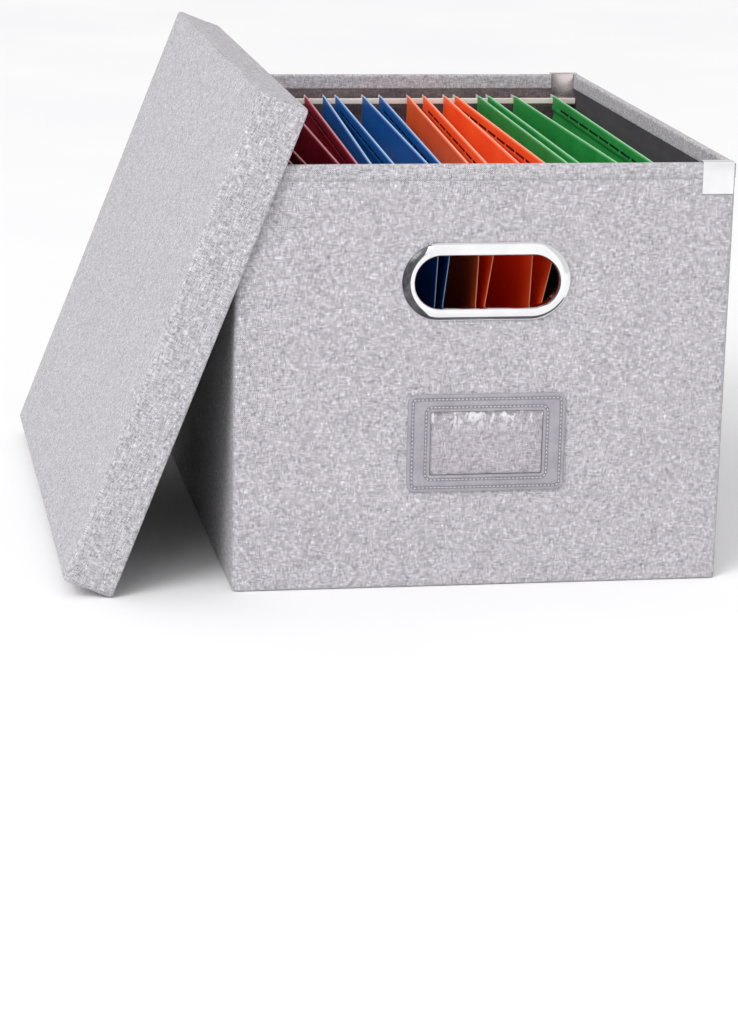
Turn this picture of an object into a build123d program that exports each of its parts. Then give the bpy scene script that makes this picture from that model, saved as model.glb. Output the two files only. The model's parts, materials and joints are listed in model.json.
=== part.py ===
from build123d import *
import os
from math import cos, radians, sin

# A fabric file storage box, open, with its lid leaning on the left rim and hanging folders on its rails.
# Millimetres, +Z up, +Y to the back, origin at the centre of the box's underside.
os.makedirs("parts", exist_ok=True)

# Box, outside, with the cloth on
box_w = 310.0
box_d = 414.0
box_h = 266.0
corner_r = 4.0

# Wall build-up, from outside to inside
cloth_t = 0.8
board_t = 3.4
lining_t = 0.6
hem_h = 10.0
rim_round = 0.6
board_gap = 0.4
crease_gap = 1.2

# Floor build-up
base_cloth_t = 0.8
bottom_board_t = 2.4
insert_t = 2.2
insert_clear = 1.5

# Grommet handles, one in each short wall
handle_drop = 72.0
handle_open_w = 91.2
handle_open_h = 34.2
handle_band = 7.2
handle_proud = 3.2
sleeve_t = 1.2
sleeve_clear = 0.25
inner_ring_band = 4.4
inner_ring_t = 2.2
ring_fit = 0.05
ring_outer_round = 2.6
ring_inner_round = 1.4
inner_ring_round = 1.0

# Label holder on the front wall
label_x = 3.0
label_gap = 46.2
label_w = 99.6
label_h = 62.0
label_t = 1.2
label_r = 3.5
label_side_band = 14.4
label_top_band = 11.0
window_r = 1.0
window_lap = 3.0
window_t = 0.35
window_fit = 0.05
window_recess = 0.4
label_round = 0.3

# Rim clips and the rails that they carry
clip_t = 1.0
clip_bend = 0.6
clip_w = 19.7
clip_side_inset = 2.2
clip_drop = 19.0
clip_inner_gap = 0.4
clip_foot_w = 12.0
rail_t = 2.5
rail_h = 4.0
rail_drop = 16.0
rail_end_clear = 0.6
rail_round = 0.5

# Hanging folders. Each has where its left and its right side meet the front rail, then the back rail,
# in hundredths of the way from the middle of the rail to a clip's foot, and how far its foot hangs aside.
folder_floor_clear = 9.5
folder_hem_h = 11.0
folder_flare_h = 98.0
folder_gap = 3.0
folder_foot_cut = 1.0
paper_t = 0.4
rod_t = 1.0
rod_h = 5.0
rod_play = 0.2
rod_side_play = 0.4
hook_web = 1.6
hook_clear = 0.3
hook_side_clear = 1.0
hook_neck = 4.75
hook_tip = 4.0
hook_drop = 1.5
hook_wall_clear = 2.95
folders = {
    "maroon_folder_1": ((-79.2, -71.0), (-79.2, -71.0), -1.5),
    "maroon_folder_2": ((-58.8, -49.7), (-52.5, -36.6), -6.0),
    "blue_folder_1": ((-46.1, -32.8), (-28.6, -20.2), -6.0),
    "blue_folder_2": ((-18.4, -11.3), (-7.6, 3.3), -6.5),
    "orange_folder_1": ((-0.6, 9.9), (16.5, 27.0), -7.5),
    "orange_folder_2": ((24.2, 39.9), (36.2, 43.9), -11.0),
    "green_folder_1": ((48.3, 55.6), (54.5, 61.8), -9.0),
    "green_folder_2": ((73.0, 90.9), (73.8, 97.4), -9.0),
}

# Lid, its build-up, and how it leans
lid_clear = 2.0
lid_board_t = 2.8
skirt_board_t = 2.4
lid_lining_t = 0.5
skirt_h = 32.0
lid_hem_h = 10.0
lid_lean = 68.6
lean_gap = 0.3
strip_gap = 0.2

# The most of a wall that a round may take
round_share = 0.96


def round_within(radius, *walls):
    # A round that the walls beside it leave room for
    return min([radius] + [round_share * wall for wall in walls])


# Sizes that follow from the ones above
corner = round_within(corner_r, board_t + cloth_t)
wall_t = cloth_t + board_t
rim_t = wall_t + cloth_t
core_w = box_w - 2 * cloth_t
core_d = box_d - 2 * cloth_t
inner_w = box_w - 2 * wall_t
inner_d = box_d - 2 * wall_t
rim_in_w = box_w - 2 * rim_t
rim_in_d = box_d - 2 * rim_t
board_top = box_h - cloth_t
hem_z = box_h - hem_h
floor_z = base_cloth_t + bottom_board_t
lined_floor_z = floor_z + lining_t
lined_wall_t = wall_t + lining_t
handle_z = box_h - handle_drop
handle_hole_w = handle_open_w + 2 * (sleeve_t + sleeve_clear)
handle_hole_h = handle_open_h + 2 * (sleeve_t + sleeve_clear)
label_z = handle_z - handle_open_h / 2 - handle_band - label_gap - label_h / 2
window_w = label_w - 2 * label_side_band
window_h = label_h - 2 * label_top_band
rail_top = box_h - rail_drop
foot_z = rail_top - rail_h
rail_len = inner_w - 2 * (lining_t + rail_end_clear)
rail_inset = lining_t + hook_wall_clear + hook_tip + hook_side_clear + rail_t / 2
rail_span = inner_d - 2 * rail_inset
foot_far = rim_in_w / 2 - clip_inner_gap
foot_near = foot_far - clip_foot_w
folder_top = rail_top + hook_clear + hook_web + rod_play + paper_t
folder_low = lined_floor_z + insert_t + folder_floor_clear
folder_len = rail_span - rail_t - 2 * (hook_side_clear + hook_neck)
folder_hem_w = rod_t + 2 * (rod_side_play + paper_t)
folder_foot_half = folder_gap / 2 + paper_t
skirt_t = cloth_t + skirt_board_t + cloth_t
lid_panel_t = cloth_t + lid_board_t + lid_lining_t
lid_w = box_w + 2 * (lid_clear + skirt_t)
lid_d = box_d + 2 * (lid_clear + skirt_t)


def save(builder, name):
    builder.part.label = name
    export_step(builder.part, "parts/" + name + ".step")


def on_wall(side, x, z, inward=0.0):
    # A plane on the outside of the front wall (side -1) or the back one (side 1), or that far inside it
    return Plane(origin=(x, side * (box_d / 2 - inward), z), x_dir=(-side, 0, 0), z_dir=(0, side, 0))


# The stadium hole through both short walls
with BuildSketch(Plane.XZ) as handle_hole:
    with Locations((0, handle_z)):
        SlotOverall(handle_hole_w, handle_hole_h)

# Cloth under the box
with BuildPart() as base_cloth:
    with BuildSketch(Plane.XY):
        RectangleRounded(box_w, box_d, corner)
    extrude(amount=base_cloth_t)
save(base_cloth, "base_cloth")

# Outer cloth: the four walls, over the rim and down inside to the hem
with BuildPart() as outer_cover:
    with BuildSketch(Plane.XY.offset(base_cloth_t)):
        RectangleRounded(box_w, box_d, corner)
    extrude(amount=box_h - base_cloth_t)
    top_edges = outer_cover.faces().sort_by(Axis.Z)[-1].outer_wire().edges()
    fillet(top_edges, radius=round_within(rim_round, cloth_t))
    with BuildSketch(Plane.XY.offset(base_cloth_t)):
        RectangleRounded(core_w, core_d, corner - cloth_t)
    extrude(amount=board_top - base_cloth_t, mode=Mode.SUBTRACT)
    with BuildSketch(Plane.XY.offset(hem_z)):
        Rectangle(inner_w, inner_d)
    extrude(amount=board_top - hem_z)
    with BuildSketch(Plane.XY.offset(base_cloth_t)):
        Rectangle(rim_in_w, rim_in_d)
    extrude(amount=box_h - base_cloth_t, mode=Mode.SUBTRACT)
    extrude(handle_hole.sketch, amount=box_d, both=True, mode=Mode.SUBTRACT)
save(outer_cover, "outer_cover")


def end_board(name, side):
    # The board in a short wall; side is -1 at the front and 1 at the back
    y_mid = side * (core_d - board_t) / 2
    with BuildPart() as board:
        with BuildSketch(Plane.XY.offset(base_cloth_t)):
            with Locations((0, y_mid)):
                Rectangle(core_w, board_t)
        extrude(amount=board_top - base_cloth_t)
        outside = board.edges().filter_by(Axis.Z).group_by(Axis.Y)[0 if side < 0 else -1]
        fillet(outside, radius=corner - cloth_t)
        extrude(handle_hole.sketch, amount=box_d, both=True, mode=Mode.SUBTRACT)
    save(board, name)


def side_board(name, side, half):
    # One half of a long wall's board; the two halves meet at the crease where the box folds flat
    length = (inner_d - 2 * board_gap - crease_gap) / 2
    x_mid = side * (core_w - board_t) / 2
    y_mid = half * (length + crease_gap) / 2
    with BuildPart() as board:
        with BuildSketch(Plane.XY.offset(base_cloth_t)):
            with Locations((x_mid, y_mid)):
                Rectangle(board_t, length)
        extrude(amount=board_top - base_cloth_t)
    save(board, name)


end_board("front_board", -1)
end_board("back_board", 1)
side_board("left_front_board", -1, -1)
side_board("left_back_board", -1, 1)
side_board("right_front_board", 1, -1)
side_board("right_back_board", 1, 1)

# Board under the lining
with BuildPart() as bottom_board:
    with BuildSketch(Plane.XY.offset(base_cloth_t)):
        Rectangle(inner_w - 2 * board_gap, inner_d - 2 * board_gap)
    extrude(amount=bottom_board_t)
save(bottom_board, "bottom_board")

# Lining bag: floor and walls up to the hem
with BuildPart() as lining:
    with BuildSketch(Plane.XY.offset(floor_z)):
        Rectangle(inner_w, inner_d)
    extrude(amount=hem_z - floor_z)
    with BuildSketch(Plane.XY.offset(lined_floor_z)):
        Rectangle(inner_w - 2 * lining_t, inner_d - 2 * lining_t)
    extrude(amount=hem_z - lined_floor_z, mode=Mode.SUBTRACT)
    extrude(handle_hole.sketch, amount=box_d, both=True, mode=Mode.SUBTRACT)
save(lining, "lining")

# Loose stiffener on the floor
with BuildPart() as base_insert:
    with BuildSketch(Plane.XY.offset(lined_floor_z)):
        insert_w = inner_w - 2 * (lining_t + insert_clear)
        insert_d = inner_d - 2 * (lining_t + insert_clear)
        RectangleRounded(insert_w, insert_d, corner)
    extrude(amount=insert_t)
save(base_insert, "base_insert")


def handle_outer_ring(name, side):
    # Crowned flange outside the wall, with the sleeve that goes through it
    seat = on_wall(side, 0, handle_z)
    outward = Axis(seat.origin, seat.z_dir)
    with BuildPart() as ring:
        with BuildSketch(seat):
            SlotOverall(handle_open_w + 2 * handle_band, handle_open_h + 2 * handle_band)
            SlotOverall(handle_open_w, handle_open_h, mode=Mode.SUBTRACT)
        extrude(amount=handle_proud)
        crown = ring.faces().sort_by(outward)[-1]
        outer_edges = crown.outer_wire().edges()
        inner_edges = crown.inner_wires()[0].edges()
        fillet(outer_edges, radius=round_within(ring_outer_round, handle_proud, handle_band / 2))
        fillet(inner_edges, radius=round_within(ring_inner_round, handle_proud, handle_band / 2))
        with BuildSketch(seat):
            SlotOverall(handle_open_w + 2 * sleeve_t, handle_open_h + 2 * sleeve_t)
            SlotOverall(handle_open_w, handle_open_h, mode=Mode.SUBTRACT)
        extrude(amount=-(lined_wall_t + inner_ring_t))
    save(ring, name)


def handle_inner_ring(name, side):
    # Flat ring inside the wall, over the sleeve's end
    seat = on_wall(side, 0, handle_z, lined_wall_t + inner_ring_t)
    outward = Axis(seat.origin, seat.z_dir)
    hole_w = handle_open_w + 2 * (sleeve_t + ring_fit)
    hole_h = handle_open_h + 2 * (sleeve_t + ring_fit)
    with BuildPart() as ring:
        with BuildSketch(seat):
            SlotOverall(hole_w + 2 * inner_ring_band, hole_h + 2 * inner_ring_band)
            SlotOverall(hole_w, hole_h, mode=Mode.SUBTRACT)
        extrude(amount=inner_ring_t)
        crown = ring.faces().sort_by(outward)[0]
        round_r = round_within(inner_ring_round, inner_ring_t, inner_ring_band)
        fillet(crown.outer_wire().edges(), radius=round_r)
    save(ring, name)


handle_outer_ring("front_handle_ring", -1)
handle_outer_ring("back_handle_ring", 1)
handle_inner_ring("front_handle_backing", -1)
handle_inner_ring("back_handle_backing", 1)

# Label holder: a stitched frame with a clear window in a shallow recess behind it
label_seat = on_wall(-1, label_x, label_z)
with BuildPart() as label_frame:
    with BuildSketch(label_seat):
        RectangleRounded(label_w, label_h, label_r)
    extrude(amount=label_t)
    rim_edges = label_frame.faces().sort_by(Axis.Y)[0].outer_wire().edges()
    fillet(rim_edges, radius=round_within(label_round, label_t))
    with BuildSketch(label_seat):
        RectangleRounded(window_w, window_h, window_r)
    extrude(amount=label_t, mode=Mode.SUBTRACT)
    with BuildSketch(label_seat):
        Rectangle(window_w + 2 * window_lap, window_h + 2 * window_lap)
    extrude(amount=window_recess, mode=Mode.SUBTRACT)
save(label_frame, "label_frame")

with BuildPart() as label_window:
    with BuildSketch(label_seat):
        Rectangle(window_w + 2 * (window_lap - window_fit), window_h + 2 * (window_lap - window_fit))
    extrude(amount=window_t)
save(label_window, "label_window")


def rail(name, side):
    # A rail across the front or the back wall, on the clips' feet
    with BuildPart() as bar:
        with BuildSketch(Plane.XY.offset(foot_z)):
            with Locations((0, side * rail_span / 2)):
                Rectangle(rail_len, rail_t)
        extrude(amount=rail_h)
        fillet(bar.edges().filter_by(Axis.X), radius=round_within(rail_round, rail_t / 2, rail_h / 2))
    save(bar, name)


rail("front_rail", -1)
rail("back_rail", 1)


def rim_clip(name, side, end):
    # A bent strip over the rim near a corner: leg outside, bridge, leg inside and the rail's foot
    mid = clip_t / 2
    outer_y = end * (box_d / 2 + mid)
    inner_y = end * (box_d / 2 - rim_t - mid)
    foot_y = end * (rail_span - rail_t) / 2
    bridge_z = box_h + mid
    leg_z = box_h - clip_drop
    bend = round_within(clip_bend, rim_t / 2)
    clip_far = box_w / 2 - clip_side_inset
    clip_near = clip_far - clip_w
    with BuildPart() as clip:
        with BuildSketch(Plane.YZ.offset(side * clip_near)):
            with BuildLine():
                FilletPolyline((outer_y, leg_z), (outer_y, bridge_z), (inner_y, bridge_z), radius=bend)
            trace(line_width=clip_t)
        extrude(amount=side * clip_w)
        with BuildSketch(Plane.YZ.offset(side * clip_near)):
            with BuildLine():
                Polyline((inner_y, foot_z - mid), (inner_y, bridge_z))
            trace(line_width=clip_t)
        extrude(amount=side * (foot_far - clip_near))
        with BuildSketch(Plane.YZ.offset(side * foot_near)):
            with BuildLine():
                Polyline((inner_y - end * mid, foot_z - mid), (foot_y, foot_z - mid))
            trace(line_width=clip_t)
        extrude(amount=side * clip_foot_w)
    save(clip, name)


rim_clip("front_left_clip", -1, -1)
rim_clip("front_right_clip", 1, -1)
rim_clip("back_left_clip", -1, 1)
rim_clip("back_right_clip", 1, 1)


def side_x(folder, side, y):
    # Where the top edge of a folder's left side (0) or right side (1) is at the depth y
    front, back = folder[:2]
    share = front[side] + (back[side] - front[side]) * (y + rail_span / 2) / rail_span
    return foot_near * share / 100


def foot_x(folder, y):
    # Where the folded foot of a folder is at the depth y
    aside = folder[2]
    return (side_x(folder, 0, y) + side_x(folder, 1, y)) / 2 + aside


def sheet_outline(folder, y):
    # One sheet folded in two, each top edge turned in around its rod. The hems hang plumb, and the two sides
    # come together below them.
    foot = foot_x(folder, y)
    left = side_x(folder, 0, y)
    right = side_x(folder, 1, y)
    neck_z = folder_top - folder_flare_h
    hem_low = folder_top - folder_hem_h
    half = folder_foot_half
    inside = folder_gap / 2
    fold_z = folder_low + folder_foot_cut
    return [
        (left, folder_top),
        (left, hem_low),
        (foot - half, neck_z),
        (foot - half, fold_z),
        (foot - half + folder_foot_cut, folder_low),
        (foot + half - folder_foot_cut, folder_low),
        (foot + half, fold_z),
        (foot + half, neck_z),
        (right, hem_low),
        (right, folder_top),
        (right - folder_hem_w, folder_top),
        (right - folder_hem_w, hem_low),
        (right - paper_t, hem_low),
        (foot + inside, neck_z),
        (foot + inside, fold_z + paper_t),
        (foot - inside, fold_z + paper_t),
        (foot - inside, neck_z),
        (left + paper_t, hem_low),
        (left + folder_hem_w, hem_low),
        (left + folder_hem_w, folder_top),
    ]


def rod_tunnel(folder, side, y):
    # The hollow of a top hem: the rod's room, between the outside layer and the turned-in layer
    inward = (1, -1)[side]
    high = folder_top - paper_t
    low = high - rod_h - 2 * rod_play
    near = side_x(folder, side, y) + inward * paper_t
    far = side_x(folder, side, y) + inward * (folder_hem_w - paper_t)
    return [(near, high), (far, high), (far, low), (near, low)]


def folder_sheet(name, folder):
    ends = (-folder_len / 2, folder_len / 2)
    with BuildPart() as sheet:
        for y in ends:
            with BuildSketch(Plane.XZ.offset(-y)):
                with BuildLine():
                    Polyline(*sheet_outline(folder, y), close=True)
                make_face()
        loft(ruled=True)
        for side in (0, 1):
            for y in ends:
                with BuildSketch(Plane.XZ.offset(-y)):
                    with BuildLine():
                        Polyline(*rod_tunnel(folder, side, y), close=True)
                    make_face()
            loft(ruled=True, mode=Mode.SUBTRACT)
    save(sheet, name)


def rod_outline():
    # A flat strip seen from the side, with a notch and a tip at each end that hook over the rails
    top = rail_top + hook_clear + hook_web
    low = top - rod_h
    notch = rail_top + hook_clear
    near = (rail_span - rail_t) / 2 - hook_side_clear
    far = (rail_span + rail_t) / 2 + hook_side_clear
    tip = far + hook_tip
    tip_z = low - hook_drop
    back_half = [(near, low), (near, notch), (far, notch), (far, tip_z), (tip, tip_z), (tip, top)]
    return back_half + [(-y, z) for y, z in reversed(back_half)]


def rod_x(folder, side, y):
    # A rod hangs in the middle of its hem
    return side_x(folder, side, y) + (1, -1)[side] * folder_hem_w / 2


def folder_rods(name, folder):
    # Both rods of one folder, each in the upright plane of its own top edge
    with BuildPart() as rods:
        for side in (0, 1):
            front_x = rod_x(folder, side, -rail_span / 2)
            back_x = rod_x(folder, side, rail_span / 2)
            run = Vector(back_x - front_x, rail_span, 0).normalized()
            seat = Plane(origin=((front_x + back_x) / 2, 0, 0), x_dir=run, z_dir=(run.Y, -run.X, 0))
            with BuildSketch(seat):
                with BuildLine():
                    Polyline(*rod_outline(), close=True)
                make_face()
            extrude(amount=rod_t / 2, both=True)
    save(rods, name)


for folder_name, folder_sides in folders.items():
    folder_sheet(folder_name + "_sheet", folder_sides)
    folder_rods(folder_name + "_rods", folder_sides)

# The lid's own frame: x up the panel, y to the back, z out of the panel's outer face.
# Its lower skirt stands on the floor and its panel leans on the box's left rim.
up_x = cos(radians(lid_lean))
up_z = sin(radians(lid_lean))
rim_depth = skirt_h - lid_panel_t - lean_gap
lid_foot_x = -box_w / 2 - (up_x * box_h - rim_depth) / up_z
lid_mid_x = lid_foot_x + up_x * lid_w / 2 - up_z * skirt_h
lid_mid_z = up_z * lid_w / 2 + up_x * skirt_h
lid_face = Plane(origin=(lid_mid_x, 0, lid_mid_z), x_dir=(up_x, 0, up_z), z_dir=(-up_z, 0, up_x))
hem_line = skirt_h - lid_hem_h
board_low = skirt_h - cloth_t
panel_under = cloth_t + lid_board_t

# Board in the lid's panel
with BuildPart() as lid_panel_board:
    with BuildSketch(lid_face.offset(-panel_under)):
        RectangleRounded(lid_w - 2 * cloth_t, lid_d - 2 * cloth_t, corner - cloth_t)
    extrude(amount=lid_board_t)
save(lid_panel_board, "lid_panel_board")


def skirt_board(name, x, y, width, depth):
    with BuildPart() as board:
        with BuildSketch(lid_face.offset(-board_low)):
            with Locations((x, y)):
                Rectangle(width, depth)
        extrude(amount=board_low - panel_under)
    save(board, name)


long_skirt_x = lid_w / 2 - cloth_t - skirt_board_t / 2
short_skirt_y = lid_d / 2 - cloth_t - skirt_board_t / 2
short_skirt_w = lid_w - 2 * (cloth_t + corner)
long_skirt_d = lid_d - 2 * max(corner, cloth_t + skirt_board_t + board_gap)
skirt_board("lid_lower_skirt_board", -long_skirt_x, 0, skirt_board_t, long_skirt_d)
skirt_board("lid_upper_skirt_board", long_skirt_x, 0, skirt_board_t, long_skirt_d)
skirt_board("lid_front_skirt_board", 0, -short_skirt_y, short_skirt_w, skirt_board_t)
skirt_board("lid_back_skirt_board", 0, short_skirt_y, short_skirt_w, skirt_board_t)

# Outer cloth of the lid, down to the hem line
with BuildPart() as lid_cover:
    with BuildSketch(lid_face.offset(-hem_line)):
        RectangleRounded(lid_w, lid_d, corner)
    extrude(amount=hem_line)
    panel_edges = lid_cover.faces().sort_by(Axis(lid_face.origin, lid_face.z_dir))[-1].outer_wire().edges()
    fillet(panel_edges, radius=round_within(rim_round, cloth_t))
    with BuildSketch(lid_face.offset(-hem_line)):
        RectangleRounded(lid_w - 2 * cloth_t, lid_d - 2 * cloth_t, corner - cloth_t)
    extrude(amount=hem_line - cloth_t, mode=Mode.SUBTRACT)
save(lid_cover, "lid_cover")

# Cloth turned round the open edges of the four skirts
slot_in = 2 * (cloth_t + skirt_board_t)
strip_cut_x = lid_w / 2 - skirt_t - strip_gap / 2
with BuildPart() as lid_hem_strips:
    with BuildSketch(lid_face.offset(-skirt_h)):
        RectangleRounded(lid_w, lid_d, corner)
        Rectangle(lid_w - 2 * skirt_t, lid_d - 2 * skirt_t, mode=Mode.SUBTRACT)
    extrude(amount=lid_hem_h)
    with BuildSketch(lid_face.offset(-board_low)):
        RectangleRounded(lid_w - 2 * cloth_t, lid_d - 2 * cloth_t, corner - cloth_t)
        Rectangle(lid_w - slot_in, lid_d - slot_in, mode=Mode.SUBTRACT)
    extrude(amount=lid_hem_h, mode=Mode.SUBTRACT)
    with BuildSketch(lid_face.offset(-skirt_h)):
        with Locations((-strip_cut_x, 0), (strip_cut_x, 0)):
            Rectangle(strip_gap, lid_d)
    extrude(amount=lid_hem_h, mode=Mode.SUBTRACT)
save(lid_hem_strips, "lid_hem_strips")

# Lining of the lid: under the panel and down the skirts to the hem
with BuildPart() as lid_lining:
    with BuildSketch(lid_face.offset(-hem_line)):
        Rectangle(lid_w - slot_in, lid_d - slot_in)
    extrude(amount=hem_line - panel_under)
    with BuildSketch(lid_face.offset(-hem_line)):
        Rectangle(lid_w - slot_in - 2 * lid_lining_t, lid_d - slot_in - 2 * lid_lining_t)
    extrude(amount=hem_line - panel_under - lid_lining_t, mode=Mode.SUBTRACT)
save(lid_lining, "lid_lining")
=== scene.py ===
import json
from math import cos, pi, radians, sin, sqrt

import bmesh
import bpy
from mathutils import Matrix, Vector, noise

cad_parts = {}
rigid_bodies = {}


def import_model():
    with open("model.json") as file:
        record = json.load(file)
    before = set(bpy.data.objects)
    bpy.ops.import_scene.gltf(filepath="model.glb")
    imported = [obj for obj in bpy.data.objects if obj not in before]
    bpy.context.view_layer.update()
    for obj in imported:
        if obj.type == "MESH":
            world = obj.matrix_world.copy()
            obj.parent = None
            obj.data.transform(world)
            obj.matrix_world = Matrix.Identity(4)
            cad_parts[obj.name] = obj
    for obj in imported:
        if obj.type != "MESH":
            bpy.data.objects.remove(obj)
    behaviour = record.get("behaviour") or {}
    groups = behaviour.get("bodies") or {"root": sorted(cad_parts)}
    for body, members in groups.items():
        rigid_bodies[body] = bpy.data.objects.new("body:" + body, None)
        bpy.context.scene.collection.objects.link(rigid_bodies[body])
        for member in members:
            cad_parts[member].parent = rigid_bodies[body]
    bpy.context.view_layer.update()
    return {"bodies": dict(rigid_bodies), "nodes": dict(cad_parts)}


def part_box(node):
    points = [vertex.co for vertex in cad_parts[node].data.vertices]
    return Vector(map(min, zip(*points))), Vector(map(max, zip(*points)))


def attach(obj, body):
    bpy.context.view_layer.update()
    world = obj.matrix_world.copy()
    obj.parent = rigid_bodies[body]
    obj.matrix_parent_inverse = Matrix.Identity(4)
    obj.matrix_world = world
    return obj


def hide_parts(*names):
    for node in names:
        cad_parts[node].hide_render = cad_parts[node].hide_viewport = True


# The looks of a fabric file box with its lid leaning on it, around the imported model.
# Metres, in the model's own frame: +Z up, +Y to the back, origin under the middle of the box.
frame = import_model()

MM = 0.001

# Cloth and how it is made up
cloth_thick = 0.4 * MM
wall_sink = 0.3 * MM
hem_groove = 0.5 * MM
hem_groove_h = 0.45 * MM
groove_foot = 0.12 * MM
rim_r = 1.7 * MM
under_r = 2.3 * MM
side_round = 4.0 * MM
hem_tuck = 0.3 * MM
hem_step = 3.0 * MM
wall_step = 4.5 * MM
flat_step = 12.0 * MM
lining_step = 9.0 * MM
lid_lining_step = 5.0 * MM
crease_w = 2.2 * MM
crease_deep = 0.35 * MM
lining_thick = 0.5 * MM
lining_sink = 0.6 * MM
lining_fillet = 3.0 * MM
lid_lining_thick = 0.4 * MM
lid_lining_sink = 0.5 * MM
panel_round = 0.7 * MM
panel_corner = 4.0 * MM

# Ripples: how high, and how wide their lumps are
box_ripple = (0.22 * MM, 55 * MM)
lid_ripple = (0.22 * MM, 60 * MM)
lining_ripple = (0.3 * MM, 38 * MM)
lid_lining_ripple = (0.2 * MM, 45 * MM)
panel_ripple = (0.15 * MM, 60 * MM)
label_ripple = (0.05 * MM, 14 * MM)
film_ripple = (0.28 * MM, 16 * MM)
# The share of them that is left under the clips, and at the lining's seam
clip_reach = 10.0 * MM
clip_hold = 0.25
lining_seam = 4.0 * MM
seam_hold = 0.1

# Points along x, along y, and round a corner, on the rings that each piece is lofted from
cloth_counts = (70, 92, 6)
lining_counts = (60, 80, 4)
lid_lining_counts = (50, 70, 4)
panel_counts = (30, 40, 4)
handle_counts = (24, 0, 28)
label_counts = (60, 36, 6)
film_counts = (36, 20, 2)
seam_counts = (40, 30, 8)

# Handle, from the edge of its opening. Its crown rises from ring_edge of its height, fuller as ring_bow grows.
handle_band = 7.2 * MM
sleeve_t = 1.2 * MM
cloth_hole = 2.2 * MM
crown_in = 1.5 * MM
inner_round = 1.6 * MM
roll_past = 0.8 * MM
backing_band = 4.4 * MM
backing_round = 0.9 * MM
ring_rows = 12
ring_bow = 1.7
ring_edge = 0.12
ring_sink = 0.2 * MM
roll_drop = 0.03 * MM
sleeve_start = 1.5 * MM
sleeve_lip = 0.3 * MM
washer_gap = 0.05 * MM

# Label holder
label_side_band = 14.4 * MM
label_top_band = 11.0 * MM
label_r = 5.5 * MM
window_r = 1.0 * MM
seam_in = 3.0 * MM
stitch_pitch = 2.5 * MM
stitch_long = 1.6 * MM
thread_r = 0.3 * MM
stitch_rise = 0.84
film_thick = 0.15 * MM
film_rise = 0.3 * MM
film_step = 2.5 * MM

# The label border's section, from its outer edge and from its window: (mm in, share of its height)
seam_valley = (3.0, 0.78)
label_outer = [(0.0, -0.3), (0.0, 0.55), (0.15, 0.82), (0.5, 0.98), (1.5, 1.06), (2.5, 0.92), seam_valley,
               (3.5, 0.92), (4.5, 1.1)]
label_inner = [(4.5, 1.1), (3.5, 0.92), seam_valley, (2.5, 0.92), (1.5, 1.04), (0.5, 0.96), (0.15, 0.82),
               (0.0, 0.6), (0.0, 0.25), (0.0, -0.3)]

# Folder sheets: the card, where it narrows, its slots, its waves, its rubbed edges and the painted highlight along
# its folds
card_thick = 0.45 * MM
folder_hem = 11.0 * MM
folder_flare = 98.0 * MM
folder_gap = 3.0 * MM
slot_pitch = 32.0 * MM
slot_long = 28.5 * MM
slot_end = 14.0 * MM
slot_top = 5.75 * MM
slot_low = 7.45 * MM
end_edge = 0.5 * MM
card_wave = 0.6 * MM
neck_ease = 0.006
foot_bow = 0.8 * MM
foot_rise = 1.2 * MM
foot_low = 0.2 * MM
calm_band = 60.0 * MM
wave_along = 9
wave_down = 14
seed_pitch = 0.37
fold_highlight = 0.35
end_worn = 0.8

# How a card turns in over its rod, from the edge tucked behind the slots to the fold: (mm down, mm in)
card_tuck = [(5.3, 1.0), (8.2, 1.1), (9.0, 1.3)]
card_flap = [(9.5, 1.9), (8.9, 2.15), (7.6, 2.0), (7.5, 2.0), (5.7, 1.85), (5.6, 1.85), (4.5, 1.95), (2.0, 1.95)]
card_fold = [(1.3, 1.95), (0.6, 1.8), (0.2, 1.45), (0.02, 1.1), (0.0, 0.98), (0.02, 0.85), (0.2, 0.5), (0.6, 0.15)]
# Depths of the rows on a card's wall, in mm, closest where it bends
card_wall = [1.3, 2.0, 4.5, 7.5, 10, 12, 14, 18, 24, 32, 42, 54, 66, 78, 88, 96, 104, 120, 150, 180, 205, 225]

# Pressed and rolled metal: its edges are broken where they turn by more than edge_turn degrees
rod_round = 0.15 * MM
rail_round = 0.2 * MM
clip_round = 0.25 * MM
edge_turn = 40
weld = 0.002 * MM

# The lid's lean from the floor
lid_lean = radians(68.6)

# The camera, as the photograph was taken
camera_at = (-0.3957, -2.0135, 0.5587)
camera_heading = radians(10.23)
camera_dip = radians(15.50)
camera_roll = radians(1.32)
camera_lens = 108.15

# The studio's light
sky_power = 0.82
sun_power = 1.2
sun_from = (-0.7, -0.65, 0.85)
sun_spread = radians(28)
softbox_power = 11
softbox_size = 1.3
softbox_at = (-0.9, -1.5, 1.6)
softbox_target = (-0.1, -0.1, 0.2)
white_card_power = 1.12
floor_half = 9.0


def box_in(node, axes):
    """The lowest and highest corner of a CAD node along turned axes."""
    back = axes.transposed()
    points = [back @ v.co for v in frame["nodes"][node].data.vertices]
    low = Vector(min(p[i] for p in points) for i in range(3))
    high = Vector(max(p[i] for p in points) for i in range(3))
    return low, high


# Places that the model gives
skin_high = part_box("outer_cover")[1]
half_w, half_d, box_h = skin_high
lining_low, lining_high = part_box("lining")
board_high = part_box("right_front_board")[1]
cloth_t = half_w - board_high.x
wall_t = half_w - lining_high.x
rim_t = wall_t + cloth_t
hem_z = lining_high.z
ring_low, ring_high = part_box("front_handle_ring")
handle_z = (ring_low.z + ring_high.z) / 2
open_half_w = ring_high.x - handle_band
open_half_h = (ring_high.z - ring_low.z) / 2 - handle_band
handle_proud = -half_d - ring_low.y
sleeve_deep = ring_high.y + half_d
backing_low, backing_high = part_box("front_handle_backing")
lean_axes = Matrix(((cos(lid_lean), 0, -sin(lid_lean)), (0, 1, 0), (sin(lid_lean), 0, cos(lid_lean))))
lid_low, lid_high = box_in("lid_cover", lean_axes)
lid_open_z = box_in("lid_hem_strips", lean_axes)[0].z
lid_lining_low, lid_lining_high = box_in("lid_lining", lean_axes)
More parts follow.
